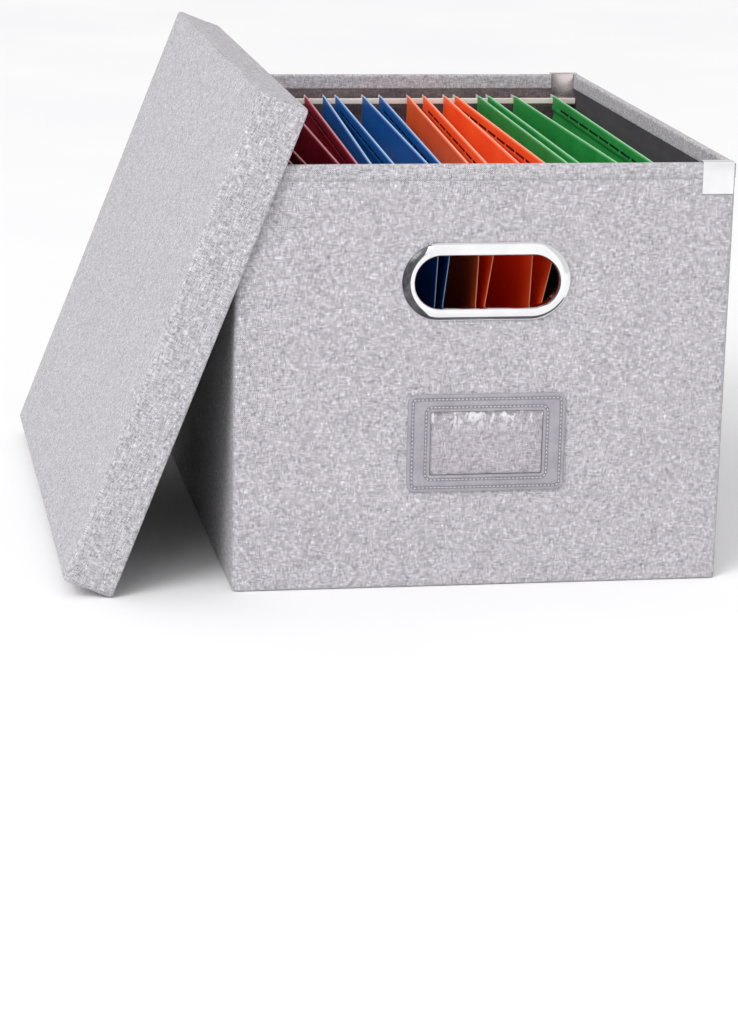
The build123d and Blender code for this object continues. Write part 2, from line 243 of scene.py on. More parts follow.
lid_mid = (lid_low + lid_high) / 2
lid_place = Matrix.Translation(lean_axes @ Vector((lid_mid.x, lid_mid.y, lid_high.z))) @ lean_axes.to_4x4()
lid_half_w = (lid_high.x - lid_low.x) / 2
lid_half_d = (lid_high.y - lid_low.y) / 2
skirt_h = lid_high.z - lid_open_z
lid_hem = lid_high.z - lid_low.z
skirt_t = cloth_t + lid_half_w - (lid_lining_high.x - lid_lining_low.x) / 2
front_place = Matrix(((1, 0, 0, 0), (0, 0, -1, -half_d), (0, 1, 0, 0), (0, 0, 0, 1)))
back_place = Matrix(((-1, 0, 0, 0), (0, 0, 1, half_d), (0, 1, 0, 0), (0, 0, 0, 1)))


# Nodes and materials

def linear(code):
    """An sRGB hex colour as linear RGBA."""
    parts = [int(code[i:i + 2], 16) / 255 for i in (1, 3, 5)]
    return (*[c / 12.92 if c <= 0.04045 else ((c + 0.055) / 1.055) ** 2.4 for c in parts], 1)


def add(tree, kind, inputs=None, **settings):
    """Adds one node with its settings, and sets or links its inputs."""
    node = tree.nodes.new(kind)
    for key, value in settings.items():
        setattr(node, key, value)
    for key, value in (inputs or {}).items():
        if isinstance(value, bpy.types.NodeSocket):
            tree.links.new(value, node.inputs[key])
        else:
            node.inputs[key].default_value = value
    return node


def calc(tree, operation, *values):
    """The result of a sum on numbers or sockets."""
    return add(tree, "ShaderNodeMath", dict(enumerate(values)), operation=operation).outputs[0]


def ramp(tree, factor, stops):
    """Colours along a factor, from (place, hex colour) stops."""
    node = add(tree, "ShaderNodeValToRGB", {"Fac": factor})
    band = node.color_ramp
    while len(band.elements) < len(stops):
        band.elements.new(1.0)
    for element, (place, code) in zip(band.elements, stops):
        element.position = place
        element.color = linear(code)
    return node.outputs["Color"]


def grain(tree, where, scale, detail=2.0, rough=0.5):
    """Noise whose scale is in lumps per metre, one number or three."""
    if isinstance(scale, tuple):
        where = add(tree, "ShaderNodeMapping", {"Vector": where, "Scale": scale}).outputs[0]
        scale = 1.0
    noises = {"Vector": where, "Scale": scale, "Detail": detail, "Roughness": rough}
    return add(tree, "ShaderNodeTexNoise", noises).outputs["Fac"]


def spread(tree, value, low, high, new_low=0.0, new_high=1.0):
    """Stretches a value from one range to another."""
    sockets = {0: value, 1: low, 2: high, 3: new_low, 4: new_high}
    return add(tree, "ShaderNodeMapRange", sockets).outputs[0]


def start(name):
    """A new material and its empty node tree."""
    material = bpy.data.materials.new(name)
    material.use_nodes = True
    material.node_tree.nodes.clear()
    return material, material.node_tree


def surface(tree, colour, height=None, depth=0.0, **sockets):
    """The shader of a surface and its output, with a bump that many metres deep."""
    inputs = {key.replace("_", " "): value for key, value in sockets.items()}
    inputs["Base Color"] = colour
    if height is not None:
        bump = {"Height": height, "Distance": depth, "Strength": 1.0}
        inputs["Normal"] = add(tree, "ShaderNodeBump", bump).outputs[0]
    shader = add(tree, "ShaderNodeBsdfPrincipled", inputs).outputs[0]
    add(tree, "ShaderNodeOutputMaterial", {"Surface": shader})
    return shader


def object_place(tree):
    """Where a point lies, in the model's own metres."""
    return add(tree, "ShaderNodeTexCoord").outputs["Object"]


def linen_weave():
    """Polyester linen, plain weave with slubs. Its heathered yarns give the eye a soft light grey, with short
    straight streaks both ways. The yarns are 0.5 mm apart on the real cloth, and drawn 0.65 mm apart so that
    they show."""
    material, tree = start("linen_look_polyester")
    where = add(tree, "ShaderNodeUVMap", uv_map="Weave").outputs[0]
    split = add(tree, "ShaderNodeSeparateXYZ", {0: where})
    yarn, fine = 0.65 * MM, 0.05 * MM
    waves = [calc(tree, "SINE", calc(tree, "MULTIPLY", split.outputs[i], pi / yarn)) for i in (0, 1)]
    weave = calc(tree, "MULTIPLY", *waves)
    weft = add(tree, "ShaderNodeVectorMath", {0: where, 1: (fine, yarn, 1)}, operation="SNAP").outputs[0]
    warp = add(tree, "ShaderNodeVectorMath", {0: where, 1: (yarn, fine, 1)}, operation="SNAP").outputs[0]
    across = grain(tree, weft, (270, 2700, 1), 1.0, 0.5)
    along = grain(tree, warp, (2700, 270, 1), 1.0, 0.5)
    fleck = grain(tree, where, 1500, 1.0, 0.6)
    cloud = grain(tree, where, 22, 2.0)
    tone = calc(tree, "ADD", across, along)
    for share, part in ((0.25, fleck), (0.06, cloud), (0.15, weave)):
        tone = calc(tree, "ADD", tone, calc(tree, "MULTIPLY", part, share))
    tone = spread(tree, tone, 0.615, 1.695)
    stops = [(0.0, "#6d6a70"), (0.3, "#98959a"), (0.5, "#b4b1b6"), (0.7, "#c9c6cb"), (1.0, "#f2f0f4")]
    height = calc(tree, "ADD", calc(tree, "MULTIPLY", weave, 0.3), tone)
    surface(tree, ramp(tree, tone, stops), height, 0.12 * MM, Roughness=0.88, Sheen_Weight=0.12,
            Sheen_Roughness=0.5, Specular_IOR_Level=0.25)
    return material


def bonded_felt():
    """Non-woven polypropylene, bonded from fibres. Its short random fibres give a dull charcoal with a faint bloom.
    The end panels take a paler, browner copy of it: painted light, as if they were lit and the sides were in shade."""
    material, tree = start("charcoal_non_woven")
    where = object_place(tree)
    fibre = grain(tree, where, (1500, 1500, 260), 3.0, 0.7)
    cross = grain(tree, where, (260, 1200, 1500), 3.0, 0.7)
    cloud = grain(tree, where, 45, 2.0)
    tone = calc(tree, "ADD", calc(tree, "ADD", fibre, cross), calc(tree, "MULTIPLY", cloud, 0.5))
    tone = spread(tree, tone, 0.95, 1.55)
    flat = ramp(tree, tone, [(0.0, "#1f1c20"), (0.5, "#2d292e"), (1.0, "#3e3a40")])
    # Painted light: a paler, browner copy of the lining for the end panels
    lit_end_colour = ramp(tree, tone, [(0.0, "#443b3c"), (0.5, "#5d5152"), (1.0, "#7a6c6d")])
    end_wall_light = add(tree, "ShaderNodeAttribute", attribute_name="end_wall_light").outputs["Fac"]
    colour = add(tree, "ShaderNodeMix", {0: end_wall_light, 6: flat, 7: lit_end_colour}, data_type="RGBA").outputs[2]
    surface(tree, colour, tone, 0.12 * MM, Roughness=0.8, Sheen_Weight=0.15, Sheen_Roughness=0.4,
            Specular_IOR_Level=0.2)
    return material


def grey_board():
    """Uncoated greyboard, pressed from waste paper. It gives a warm mid grey with darker and paler fibres."""
    material, tree = start("pressed_greyboard")
    where = object_place(tree)
    speck = grain(tree, where, 900, 3.0, 0.75)
    cloud = grain(tree, where, 60, 2.0)
    tone = spread(tree, calc(tree, "ADD", speck, calc(tree, "MULTIPLY", cloud, 0.4)), 0.5, 0.95)
    stops = [(0.0, "#6f6a63"), (0.6, "#938d84"), (1.0, "#b3aea5")]
    surface(tree, ramp(tree, tone, stops), tone, 0.08 * MM, Roughness=0.92)
    return material


def bright_plate(name, tint, dull, rough_low, rough_high):
    """Plated steel, pressed and polished. It mirrors the room, with faint rub marks that take the edge off."""
    material, tree = start(name)
    where = object_place(tree)
    rubs = grain(tree, where, (90, 90, 1400), 2.0, 0.6)
    cloud = grain(tree, where, 70, 2.0)
    both = calc(tree, "MULTIPLY", rubs, cloud)
    rough = spread(tree, both, 0.12, 0.42, rough_low, rough_high)
    colour = ramp(tree, cloud, [(0.3, dull), (0.6, tint)])
    surface(tree, colour, rubs, 0.004 * MM, Metallic=1.0, Roughness=rough)
    return material


def baked_enamel(name, deep, pale):
    """Enamel baked on steel. It stays pale among the dark linings, with a soft gloss along its edges."""
    material, tree = start(name)
    where = object_place(tree)
    peel = grain(tree, where, 420, 2.0, 0.5)
    colour = ramp(tree, grain(tree, where, 60, 2.0), [(0.35, deep), (0.65, pale)])
    surface(tree, colour, peel, 0.02 * MM, Roughness=0.34)
    return material


def pebbled_vinyl():
    """Grey leatherette, embossed vinyl on a backing. Its pebbles give a smooth half-dull grey, darker than the
    cloth. Painted shade darkens it down the window's edge and where a seam draws it in (the attribute inset_shade)."""
    material, tree = start("grey_leatherette")
    where = object_place(tree)
    cells = {"Vector": where, "Scale": 950.0, "Randomness": 1.0}
    pebble = add(tree, "ShaderNodeTexVoronoi", cells, feature="SMOOTH_F1").outputs["Distance"]
    cloud = grain(tree, where, 90, 3.0)
    tone = spread(tree, calc(tree, "ADD", calc(tree, "MULTIPLY", pebble, 0.4), cloud), 0.4, 1.0)
    colour = ramp(tree, tone, [(0.0, "#918d95"), (0.5, "#9d99a1"), (1.0, "#aaa6ad")])
    # Painted shade down the window's edge and in the seams' valleys
    inset_shade = add(tree, "ShaderNodeAttribute", attribute_name="inset_shade").outputs["Fac"]
    colour = add(tree, "ShaderNodeMix", {0: inset_shade, 6: colour, 7: linear("#4a474e")}, data_type="RGBA").outputs[2]
    surface(tree, colour, pebble, -0.10 * MM, Roughness=0.52, Specular_IOR_Level=0.45)
    return material


def spun_thread():
    """Polyester sewing thread, two strands twisted. It gives short pale dashes with a slight gloss."""
    material, tree = start("polyester_thread")
    where = object_place(tree)
    twist = grain(tree, where, (2600, 2600, 2600), 1.0)
    colour = ramp(tree, twist, [(0.35, "#c3c0c7"), (0.65, "#dedbe1")])
    surface(tree, colour, twist, 0.05 * MM, Roughness=0.55, Specular_IOR_Level=0.5)
    return material


def clear_film():
    """Soft clear PVC film, calendered. It lets the cloth show, and white spots under its upper edge stand for glare:
    painted highlight.
    """
    material, tree = start("clear_pvc_film")
    where = object_place(tree)
    wave = grain(tree, where, (55, 55, 40), 2.0)
    low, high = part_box("label_window")
    height = add(tree, "ShaderNodeSeparateXYZ", {0: where}).outputs[2]
    upper = spread(tree, height, (low.z + high.z) / 2 + 5 * MM, high.z - 5 * MM)
    # Painted highlight: white spots under the upper edge, mixed in as opaque white film
    glare_spots = spread(tree, grain(tree, where, (190, 190, 120), 2.0, 0.65), 0.52, 0.62)
    glare = calc(tree, "MULTIPLY", upper, glare_spots)
    share = calc(tree, "ADD", spread(tree, wave, 0.4, 0.7, 0.02, 0.06), calc(tree, "MULTIPLY", glare, 0.6))
    bump = add(tree, "ShaderNodeBump", {"Height": wave, "Distance": 0.5 * MM}).outputs[0]
    solid = {"Base Color": linear("#f6f5f7"), "Roughness": 0.06, "Normal": bump, "Specular IOR Level": 1.0}
    shine = add(tree, "ShaderNodeBsdfPrincipled", solid).outputs[0]
    through = add(tree, "ShaderNodeBsdfTransparent", {"Color": linear("#fbfafb")}).outputs[0]
    mixed = add(tree, "ShaderNodeMixShader", {0: share, 1: through, 2: shine}).outputs[0]
    add(tree, "ShaderNodeOutputMaterial", {"Surface": mixed})
    return material


def coated_card(name, dark, deep, main, pale):
    """Pressboard dyed through and varnished. Its grain gives a soft mottle and cut edges are rubbed paler. The paler
    line along each fold is partly rubbing and partly painted highlight, and the card turned in behind the slots is
    painted shade."""
    material, tree = start(name)
    where = object_place(tree)
    fibre = grain(tree, where, (700, 160, 700), 3.0, 0.65)
    cloud = grain(tree, where, 28, 2.0)
    tone = calc(tree, "ADD", calc(tree, "MULTIPLY", fibre, 0.6), calc(tree, "MULTIPLY", cloud, 0.5))
    tone = spread(tree, tone, 0.35, 0.75)
    body = ramp(tree, tone, [(0.0, deep), (1.0, main)])
    # Rubbed cut edges, and a painted highlight along the folds that is partly rubbing, both mixed towards the pale
    # colour
    wear_and_highlight = add(tree, "ShaderNodeAttribute", attribute_name="wear_and_highlight").outputs["Fac"]
    rub = calc(tree, "MULTIPLY", wear_and_highlight, spread(tree, fibre, 0.3, 0.6, 0.75, 1.0))
    mixed = add(tree, "ShaderNodeMix", {0: rub, 6: body, 7: linear(pale)}, data_type="RGBA").outputs[2]
    # Painted shade: the card turned in behind the slots takes the dark colour and loses its gloss
    tuck_painted_shade = add(tree, "ShaderNodeAttribute", attribute_name="tuck_painted_shade").outputs["Fac"]
    mixed = add(tree, "ShaderNodeMix", {0: tuck_painted_shade, 6: mixed, 7: linear(dark)}, data_type="RGBA").outputs[2]
    rough = spread(tree, tone, 0.0, 1.0, 0.4, 0.54)
    gloss = spread(tree, tuck_painted_shade, 0.0, 1.0, 0.16, 0.02)
    surface(tree, mixed, fibre, 0.05 * MM, Roughness=rough, Specular_IOR_Level=gloss)
    return material


def painted_floor():
    """A pale matt studio floor."""
    material, tree = start("pale_floor")
    where = object_place(tree)
    tone = grain(tree, where, 3, 2.0)
    colour = ramp(tree, tone, [(0.3, "#f4f4f5"), (0.7, "#f8f8f8")])
    surface(tree, colour, tone, 0.02 * MM, Roughness=0.9, Specular_IOR_Level=0.2)
    return material


def grey_velvet():
    """Grey studio velvet, matt, which gives the left slope of the plated rings its dark bands."""
    material, tree = start("grey_velvet")
    tone = ramp(tree, grain(tree, object_place(tree), 8), [(0.35, "#3f3e41"), (0.65, "#68666b")])
    surface(tree, tone, Roughness=1.0)
    return material


def glowing_white_card():
    """A white card that glows by its own emission, no lamp, seen in reflections alone, which gives the top of the
    rings and the clips their white.
    """
    material, tree = start("white_card")
    tone = ramp(tree, grain(tree, object_place(tree), 2), [(0.3, "#fafafa"), (0.7, "#ffffff")])
    glow = add(tree, "ShaderNodeEmission", {"Color": tone, "Strength": white_card_power}).outputs[0]
    add(tree, "ShaderNodeOutputMaterial", {"Surface": glow})
    return material


linen = linen_weave()
felt = bonded_felt()
greyboard = grey_board()
chrome = bright_plate("chrome_plate", "#f2f2f3", "#ebebed", 0.05, 0.14)
# A darker, warmer copy of the chrome for the clips at the back, its tint painted shade and reflection; the washers
# behind the walls take it too
shaded_plate = bright_plate("shaded_copy_plate", "#d6cccb", "#c5baba", 0.18, 0.3)
cream = baked_enamel("cream_enamel", "#e3d9cf", "#f3ebe2")
ivory = baked_enamel("ivory_coating", "#cfd0cc", "#e2e2de")
vinyl = pebbled_vinyl()
thread = spun_thread()
film = clear_film()
# Each card: its painted-shade colour for the card turned in behind the slots, its deep and main colours, and its pale
# colour for rubbed edges and the painted highlight along the folds
card = {
    "maroon": coated_card("maroon_pressboard", "#1c0308", "#74091c", "#9a1731", "#e0929f"),
    "blue": coated_card("blue_pressboard", "#04162e", "#074b90", "#0e5fae", "#b9d6f5"),
    "orange": coated_card("orange_pressboard", "#4d0e05", "#f74d1a", "#ff6a30", "#ffb795"),
    "green": coated_card("green_pressboard", "#06250f", "#1c8038", "#329f4c", "#a9dcae"),
}


# Making meshes and pieces

def ring(half_x, half_y, radius, counts):
    """Points anticlockwise round a rounded rectangle, with as many as counts says to a side along x, along y, and to
    a corner."""
    points = []
    for turn in range(4):
        reach, along, count = ((half_y, half_x, counts[0]), (half_x, half_y, counts[1]))[turn % 2]
        run = along - radius
        face = Matrix.Rotation(turn * pi / 2, 2)
        for i in range(count):
            points.append(face @ Vector((-run + 2 * run * i / count, -reach)))
        for i in range(counts[2]):
            a = pi / 2 * i / counts[2]
            points.append(face @ Vector((run + radius * sin(a), radius - reach - radius * cos(a))))
    return points


def loft(name, rows, counts, place=Matrix.Identity(4), first_shut=False, last_shut=False, around=False):
    """A skin over rounded rectangles, each row being half its size along x and y, its corner radius and its height.
    It faces outwards where the rows go up."""
    points = []
    for half_x, half_y, radius, height in rows:
        points += [place @ Vector((*p, height)) for p in ring(half_x, half_y, radius, counts)]
    n = len(points) // len(rows)
    faces = []
    for i in range(len(rows) if around else len(rows) - 1):
        low, high = i * n, (i + 1) % len(rows) * n
        for j in range(n):
            k = (j + 1) % n
            faces.append((low + j, low + k, high + k, high + j))
    if first_shut:
        faces.append(tuple(reversed(range(n))))
    if last_shut:
        faces.append(tuple(range(len(points) - n, len(points))))
    mesh = bpy.data.meshes.new(name)
    mesh.from_pydata(points, [], faces)
    mesh.update()
    return mesh


def by_row(mesh, name, shares):
    """Keeps a number for each row of a lofted mesh."""
    around = len(mesh.vertices) // len(shares)
    attribute = mesh.attributes.new(name, "FLOAT", "POINT")
    attribute.data.foreach_set("value", [share for share in shares for _ in range(around)])


def inset_rows(half_x, half_y, radius, profile):
    """Rows for loft from a profile of (how far in, height)."""
    least = 0.25 * MM
    return [(half_x - i, half_y - i, max(min(radius, radius - i), least), z) for i, z in profile]


def steps(a, b, size):
    """Numbers from a to b, both included, about size apart."""
    count = max(1, round(abs(b - a) / size))
    return [a + (b - a) * i / count for i in range(count + 1)]


def arc(mid_x, mid_y, radius, start_deg, end_deg, count=5):
    """A round of a section. In a skin's profile 0 degrees is inwards and 90 up, and in a handle ring's section
    0 is away from the opening and 90 out of the wall."""
    turns = [radians(start_deg + (end_deg - start_deg) * i / count) for i in range(count + 1)]
    return [(mid_x + radius * cos(a), mid_y + radius * sin(a)) for a in turns]


def lay_weave(mesh, place):
    """A UV map in metres, laid flat on each side of the cloth, so that the yarns run along its edges."""
    back = place.inverted()
    spin = back.to_3x3()
    local = [back @ v.co for v in mesh.vertices]
    layer = mesh.uv_layers.new(name="Weave")
    shift = 0.37
    for face in mesh.polygons:
        facing = [abs(c) for c in spin @ face.normal]
        side = facing.index(max(facing))
        a, b = ((1, 2), (0, 2), (0, 1))[side]
        for loop in face.loop_indices:
            p = local[mesh.loops[loop].vertex_index]
            layer.data[loop].uv = (p[a] + side * shift, p[b] + side * shift)


def ripple(mesh, height, lump, share=lambda p: 1.0, seed=0.0):
    """Moves each point along its normal by a smooth noise with lumps of that size."""
    moves = [v.normal.copy() * height * share(v.co) * noise.noise(v.co / lump + Vector((seed, seed, seed)))
             for v in mesh.vertices]
    for v, move in zip(mesh.vertices, moves):
        v.co += move
    mesh.update()


def cut_handles(mesh, past):
    """Cuts the stadium hole of the handle through both end walls, that far outside its opening."""
    end_half = open_half_h + past
    run = open_half_w + past - end_half
    near_end = half_d - 10 * MM
    b = bmesh.new()
    b.from_mesh(mesh)

    def pull(v):
        axis = Vector((max(-run, min(run, v.co.x)), v.co.y, handle_z))
        return axis, v.co - axis

    inside = {v for v in b.verts if abs(v.co.y) > near_end and pull(v)[1].length < end_half}
    gone = [f for f in b.faces if all(v in inside for v in f.verts)]
    bmesh.ops.delete(b, geom=gone, context="FACES")
    for v in b.verts:
        if v in inside:
            axis, away = pull(v)
            v.co = axis + away.normalized() * end_half
    b.to_mesh(mesh)
    b.free()
    mesh.update()


def piece(name, mesh, material, body, stands_for=(), sharp_from=None):
    """A finished mesh as a piece that rides on a body."""
    thing = bpy.data.objects.new(name, mesh)
    bpy.context.scene.collection.objects.link(thing)
    mesh.materials.clear()
    mesh.materials.append(material)
    mesh.shade_smooth()
    if sharp_from:
        mesh.set_sharp_from_angle(angle=radians(sharp_from))
    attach(thing, body)
    if stands_for:
        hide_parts(*stands_for)
    return thing


def thicken(thing, thick, offset=-1.0):
    """Gives a skin its thickness, against the way it faces."""
    wall = thing.modifiers.new("Thickness", "SOLIDIFY")
    wall.thickness = thick
    wall.offset = offset
    wall.use_even_offset = True


def rounded_copy(node, name, material, body, edge):
    """A CAD node's shape with its edges broken, as on pressed or rolled metal."""
    mesh = frame["nodes"][node].data.copy()
    mesh.name = name
    b = bmesh.new()
    b.from_mesh(mesh)
    bmesh.ops.remove_doubles(b, verts=b.verts, dist=weld)
    bmesh.ops.dissolve_limit(b, angle_limit=radians(1), verts=b.verts, edges=b.edges)
    b.to_mesh(mesh)
    b.free()
    thing = piece(name, mesh, material, body, (node,), edge_turn)
    bevel = thing.modifiers.new("Edges", "BEVEL")
    bevel.width = edge
    bevel.segments = 2
    bevel.limit_method = "ANGLE"
    bevel.angle_limit = radians(edge_turn)
    bevel.harden_normals = True
    return thing


# The box: its cloth runs under it, up the walls, over the rim and down inside to the hem

def box_skin():
    """The outer cloth in one skin, with the groove over its hem and the crease where the box folds flat."""
    under = [(i, 0.0) for i in steps(half_w - MM, under_r + wall_sink, flat_step)]
    foot = arc(wall_sink + under_r, under_r, under_r, 270, 180)
    wall = [(wall_sink, z) for z in steps(under_r, hem_z - 2 * hem_groove_h, wall_step)]
    groove = [(wall_sink, hem_z - hem_groove_h), (hem_groove, hem_z - groove_foot), (hem_groove, hem_z + groove_foot)]
    band = [(0.0, z) for z in steps(hem_z + hem_groove_h, box_h - rim_r, hem_step)]
    rim = arc(rim_r, box_h - rim_r, rim_r, 180, 90) + arc(rim_t - rim_r, box_h - rim_r, rim_r, 90, 0)
    inside = [(rim_t, z) for z in steps(box_h - rim_r - MM, hem_z + MM, hem_step)]
    tuck = [(rim_t, hem_z + 0.2 * MM), (rim_t - hem_tuck, hem_z - hem_tuck)]
    profile = under + foot[1:] + wall[1:] + groove + band + rim[1:] + inside + tuck
    rows = inset_rows(half_w, half_d, side_round, profile)
    mesh = loft("box_cloth", rows, cloth_counts, first_shut=True)
    cut_handles(mesh, cloth_hole)

    def loose(p):
        """Less where the cloth is held: under the clips, and below the box."""
        return clip_hold if p.z > hem_z - clip_reach or p.z < MM else 1.0

    ripple(mesh, *box_ripple, loose)
    for v in mesh.vertices:
        on_side = abs(v.co.x) > half_w - 2 * MM and v.co.z < hem_z
        near = max(0.0, 1.0 - abs(v.co.y) / crease_w)
        if on_side and near > 0:
            v.co.x -= crease_deep * near * (1 if v.co.x > 0 else -1)
    lay_weave(mesh, Matrix.Identity(4))
    skin = piece("box_cloth", mesh, linen, "box", ("outer_cover", "base_cloth"))
    thicken(skin, cloth_thick)


def box_lining():
    """The lining bag, its end walls marked for their painted light."""
    face = wall_t + lining_sink
    floor = lining_low.z + lining_sink
    wall = [(face, z) for z in steps(hem_z, floor + lining_fillet, lining_step)]
    turn = arc(face + lining_fillet, floor + lining_fillet, lining_fillet, 180, 270, 4)
    base = [(i, floor) for i in steps(face + lining_fillet, half_w - MM, flat_step)]
    rows = inset_rows(half_w, half_d, face + lining_fillet, wall + turn[1:] + base[1:])
    mesh = loft("lining_bag", rows, lining_counts, last_shut=True)
    cut_handles(mesh, cloth_hole)
    ripple(mesh, *lining_ripple, lambda p: seam_hold if p.z > hem_z - lining_seam else 1.0, seed=5.0)
    # Marks the end walls for their painted light
    end_wall_light = mesh.attributes.new("end_wall_light", "FLOAT", "POINT")
    end_wall_light.data.foreach_set("value", [float(abs(v.co.y) > half_d - face - 2 * MM) for v in mesh.vertices])
    bag = piece("lining_bag", mesh, felt, "box", ("lining",))
    thicken(bag, lining_thick)


def floor_panel():
    """The loose panel on the box's floor."""
    low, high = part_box("base_insert")
    edge = panel_round
    under = [(i, low.z) for i in steps(high.x - MM, edge, 2 * flat_step)]
    foot = arc(edge, low.z + edge, edge, 270, 180, 3)
    top = arc(edge, high.z - edge, edge, 180, 90, 3)
    over = [(i, high.z) for i in steps(edge, high.x - MM, 2 * flat_step)]
    rows = inset_rows(high.x, high.y, panel_corner, under + foot[1:] + top + over[1:])
    mesh = loft("floor_panel", rows, panel_counts, first_shut=True, last_shut=True)
    ripple(mesh, *panel_ripple, seed=9.0)
    piece("floor_panel", mesh, felt, "box", ("base_insert",))


# The handles

def around_opening(section):
    """Rows round a handle's opening, from a section of (how far outside it, how far out of the wall)."""
    return [(open_half_w + e, open_half_h + e, open_half_h + e, h) for e, h in section]


def handle_rings(end, place):
    """One handle: its ring, crowned and rolled into its sleeve, and the flat ring behind the wall."""
    lift = place @ Matrix.Translation((0, handle_z, 0))
    flange = [(handle_band, -ring_sink)]
    bowed = [(i / ring_rows, ring_edge + (1 - ring_edge) * (1 - (1 - i / ring_rows) ** ring_bow))
             for i in range(1, ring_rows + 1)]
    slope = [(0.0, 0.05), (0.01, 0.13)] + bowed
    flange += [(handle_band - (handle_band - crown_in) * inward, handle_proud * up) for inward, up in slope]
    roll_mid = inner_round - roll_past
    flange += arc(roll_mid, handle_proud - roll_drop - inner_round, inner_round, 85, 200, 9)
    flange += [(0.0, -sleeve_start), (0.0, -sleeve_deep + sleeve_lip), (sleeve_lip, -sleeve_deep)]
    flange += [(sleeve_t, -sleeve_deep), (sleeve_t, -ring_sink)]
    mesh = loft(end + "_grommet", around_opening(flange), handle_counts, lift, around=True)
    piece(end + "_grommet", mesh, chrome, "box", (end + "_handle_ring",), 50)
    hole = sleeve_t + washer_gap
    low = backing_high.y + half_d
    top = backing_low.y + half_d
    band = hole + backing_band
    flat = [(band, -top), (hole, -top), (hole, -low), (band - backing_round, -low)]
    flat += arc(band - backing_round, -low + backing_round, backing_round, -90, 0, 4)[1:]
    mesh = loft(end + "_washer", around_opening(flat), handle_counts, lift, around=True)
    piece(end + "_washer", mesh, shaded_plate, "box", (end + "_handle_backing",), 50)


# The label holder: a padded frame sewn on with two rows of stitches, and a clear film

def label_holder():
    low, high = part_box("label_frame")
    half_x, half_y = (high.x - low.x) / 2, (high.z - low.z) / 2
    tall = -half_d - low.y
    mid = Vector(((low.x + high.x) / 2, (low.z + high.z) / 2, 0))
    place = front_place @ Matrix.Translation(mid)

    def row(share, inset, height):
        """A row that inset away from the outer edge (share 0) or from the window (share 1)."""
        dx = share * label_side_band + (inset if share == 0 else -inset)
        dy = share * label_top_band + (inset if share == 0 else -inset)
        radius = max(label_r - inset, 2 * MM) if share == 0 else window_r + inset
        return (half_x - dx, half_y - dy, radius, height * tall)

    rows = [row(0, i * MM, h) for i, h in label_outer] + [row(1, i * MM, h) for i, h in label_inner]
    mesh = loft("label_border", rows, label_counts, place, around=True)
    # Painted shade down the window's edge, and where the seams draw it in
    inset_shades = [0.0] * (len(rows) - 4) + [0.5, 1.0, 1.0, 1.0]
    for valley in (label_outer.index(seam_valley), len(label_outer) + label_inner.index(seam_valley)):
        inset_shades[valley - 1:valley + 2] = [0.45, 1.0, 0.45]
    by_row(mesh, "inset_shade", inset_shades)
    ripple(mesh, *label_ripple)
    piece("label_border", mesh, vinyl, "box", ("label_frame",), 60)

    film_low, film_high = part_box("label_window")
    film_x, film_y = (film_high.x - film_low.x) / 2, (film_high.z - film_low.z) / 2
    sheet = [(film_x - i, film_y - i, MM, film_rise) for i in steps(0.0, film_y - MM, film_step)]
    mesh = loft("window_film", sheet, film_counts, place, last_shut=True)
    ripple(mesh, *film_ripple, seed=3.0)
    window = piece("window_film", mesh, film, "box", ("label_window",))
    thicken(window, film_thick)

    seams = []
    for share in (0, 1):
        x, y, radius, height = row(share, seam_in, stitch_rise)
        loop = ring(x, y, radius, seam_counts)
        seams.append([place @ Vector((*p, height)) for p in loop])
    stitches("label_stitches", seams, Vector((0, -1, 0)), "box")


def stitch_tree():
    """Lays bent stitches along curves: one at each pitch, turned to the curve and standing out of the face."""
    tree = bpy.data.node_groups.new("Stitches", "GeometryNodeTree")
    for name, kind in (("Seam", "NodeSocketGeometry"), ("Pitch", "NodeSocketFloat"), ("Length", "NodeSocketFloat"),
                       ("Thread", "NodeSocketFloat"), ("Out", "NodeSocketVector")):
        tree.interface.new_socket(name, in_out="INPUT", socket_type=kind)
    tree.interface.new_socket("Stitches", in_out="OUTPUT", socket_type="NodeSocketGeometry")
    given = add(tree, "NodeGroupInput").outputs
    half = calc(tree, "MULTIPLY", given["Length"], 0.5)
    sink = calc(tree, "MULTIPLY", given["Thread"], -0.9)
    left = add(tree, "ShaderNodeCombineXYZ", {0: calc(tree, "MULTIPLY", half, -1.0), 2: sink}).outputs[0]
    top = add(tree, "ShaderNodeCombineXYZ", {2: calc(tree, "MULTIPLY", given["Thread"], 1.9)}).outputs[0]
    right = add(tree, "ShaderNodeCombineXYZ", {0: half, 2: sink}).outputs[0]
    bend = {"Start": left, "Middle": top, "End": right, "Resolution": 5}
    bend = add(tree, "GeometryNodeCurveQuadraticBezier", bend)
    round_section = add(tree, "GeometryNodeCurvePrimitiveCircle", {"Resolution": 6, "Radius": given["Thread"]})
    tube = {"Curve": bend.outputs[0], "Profile Curve": round_section.outputs[0], "Fill Caps": True}
    stitch = add(tree, "GeometryNodeCurveToMesh", tube).outputs[0]
    spots = add(tree, "GeometryNodeCurveToPoints", {"Curve": given["Seam"], "Length": given["Pitch"]}, mode="LENGTH")
    aimed = add(tree, "FunctionNodeAlignRotationToVector", {"Vector": spots.outputs["Tangent"]}, axis="X").outputs[0]
    stood = {"Rotation": aimed, "Vector": given["Out"]}
    stood = add(tree, "FunctionNodeAlignRotationToVector", stood, axis="Z", pivot_axis="X").outputs[0]
    laid = {"Points": spots.outputs["Points"], "Instance": stitch, "Rotation": stood}
    laid = add(tree, "GeometryNodeInstanceOnPoints", laid).outputs[0]
    real = add(tree, "GeometryNodeRealizeInstances", {"Geometry": laid}).outputs[0]
    done = add(tree, "GeometryNodeSetMaterial", {"Geometry": real, "Material": thread}).outputs[0]
    add(tree, "NodeGroupOutput", {"Stitches": done})
    return tree


